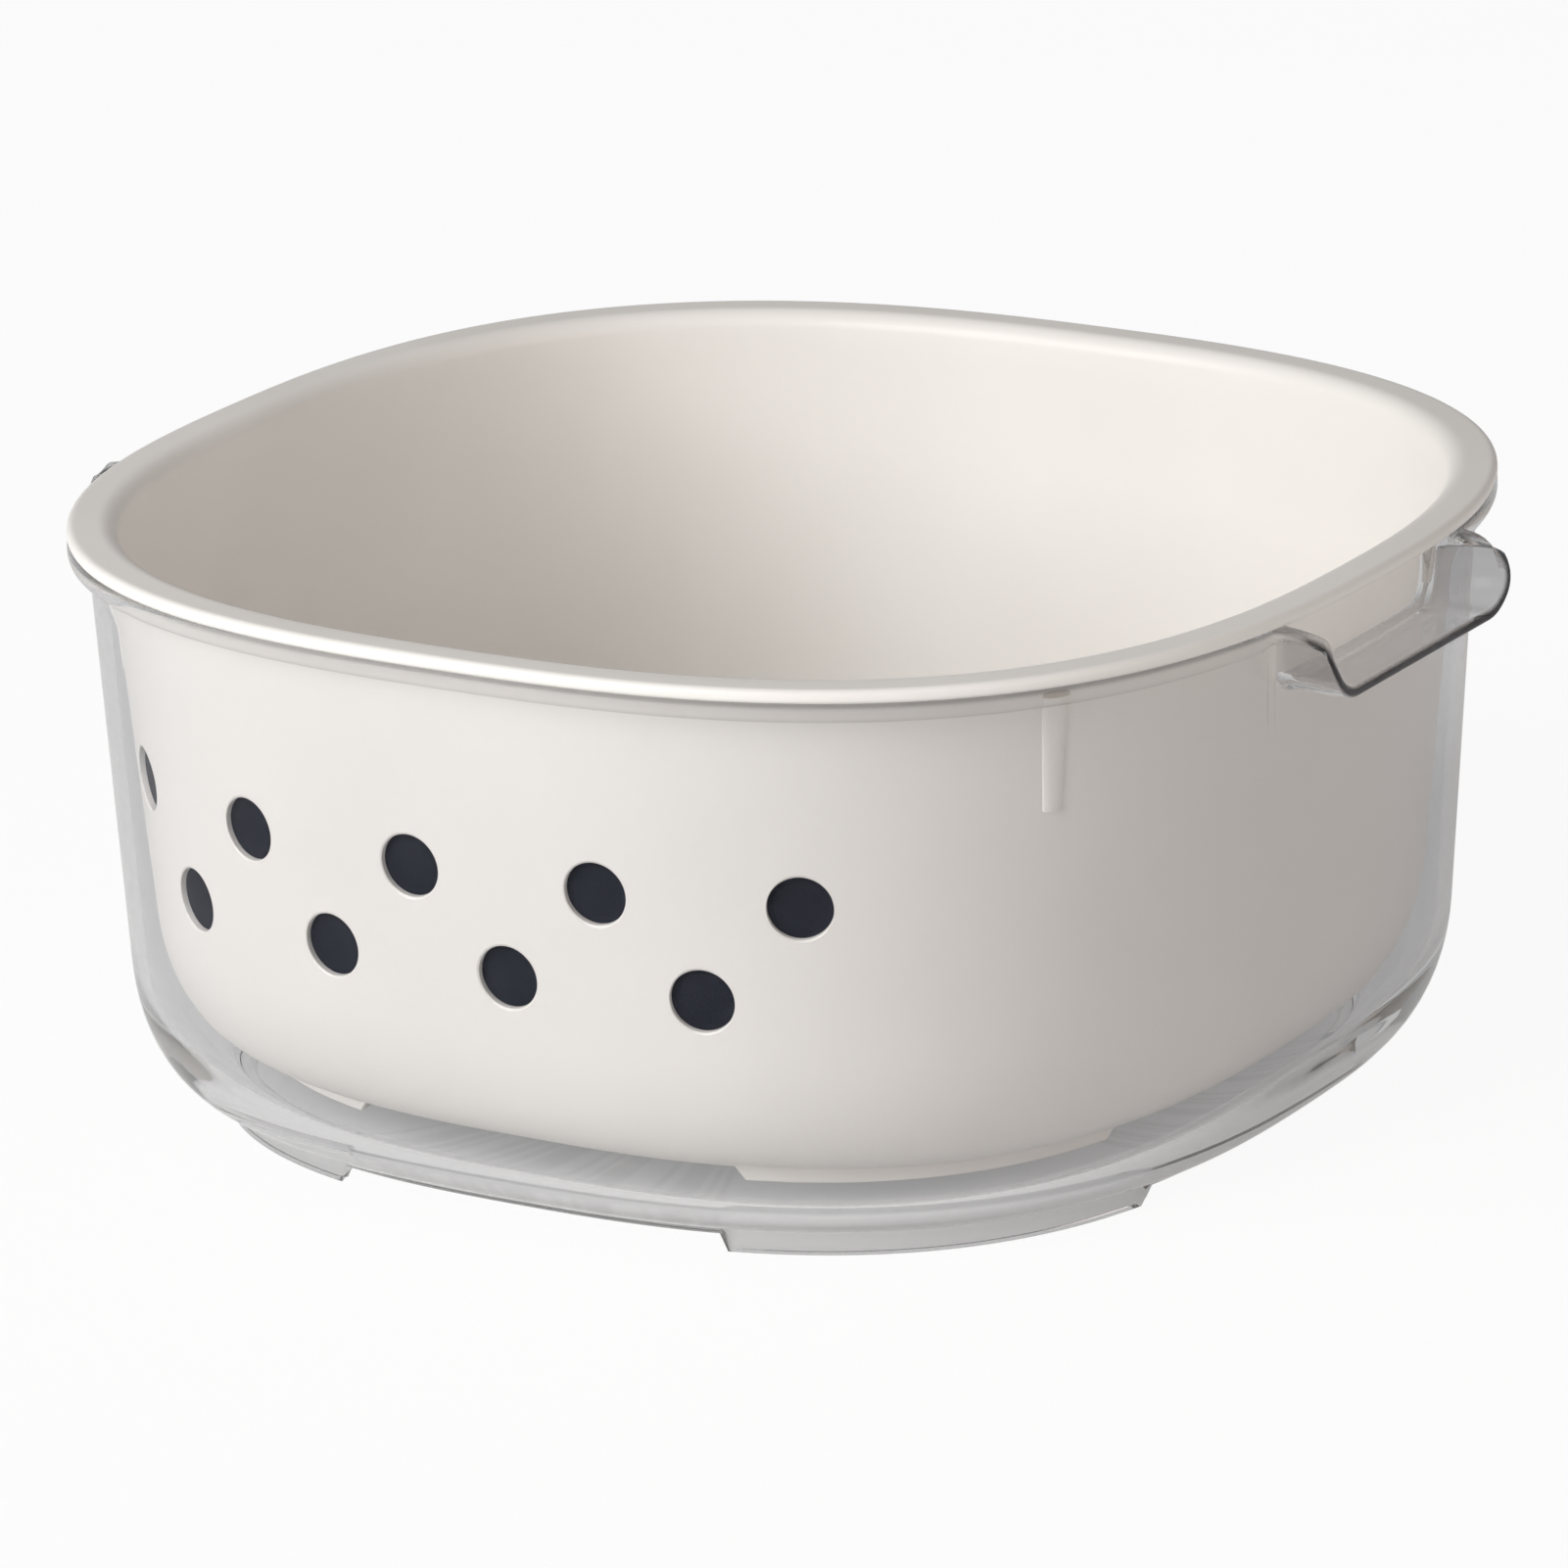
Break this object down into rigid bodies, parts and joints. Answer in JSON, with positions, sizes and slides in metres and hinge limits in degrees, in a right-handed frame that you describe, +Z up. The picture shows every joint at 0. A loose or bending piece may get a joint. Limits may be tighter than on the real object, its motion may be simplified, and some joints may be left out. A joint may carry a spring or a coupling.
{
  "type": "double-layer colander bowl",
  "caption": "Rounded square colander bowl: a drain basket with side drain holes hangs by its rim in a clear outer bowl with scooped handle lips and corner feet.",
  "frame": {"origin": "under the middle of the outer bowl, on the plane its feet stand on", "axes": "+Z up; the side with the drain holes faces -Y and the two handle lips face +X and -X"},
  "size_m": [0.2574, 0.24, 0.11],
  "materials": {
    "clear_plastic": "clear, high gloss",
    "cream_plastic": "soft gloss, opaque"
  },
  "bodies": {
    "bowl": {"outer_bowl": "clear_plastic"},
    "basket": {"drain_basket": "cream_plastic"}
  },
  "joints": [
    {"name": "basket_lift", "type": "slide", "parent": "bowl", "child": "basket", "axis": [0, 0, 1], "range_m": [0, 0.12]}
  ]
}
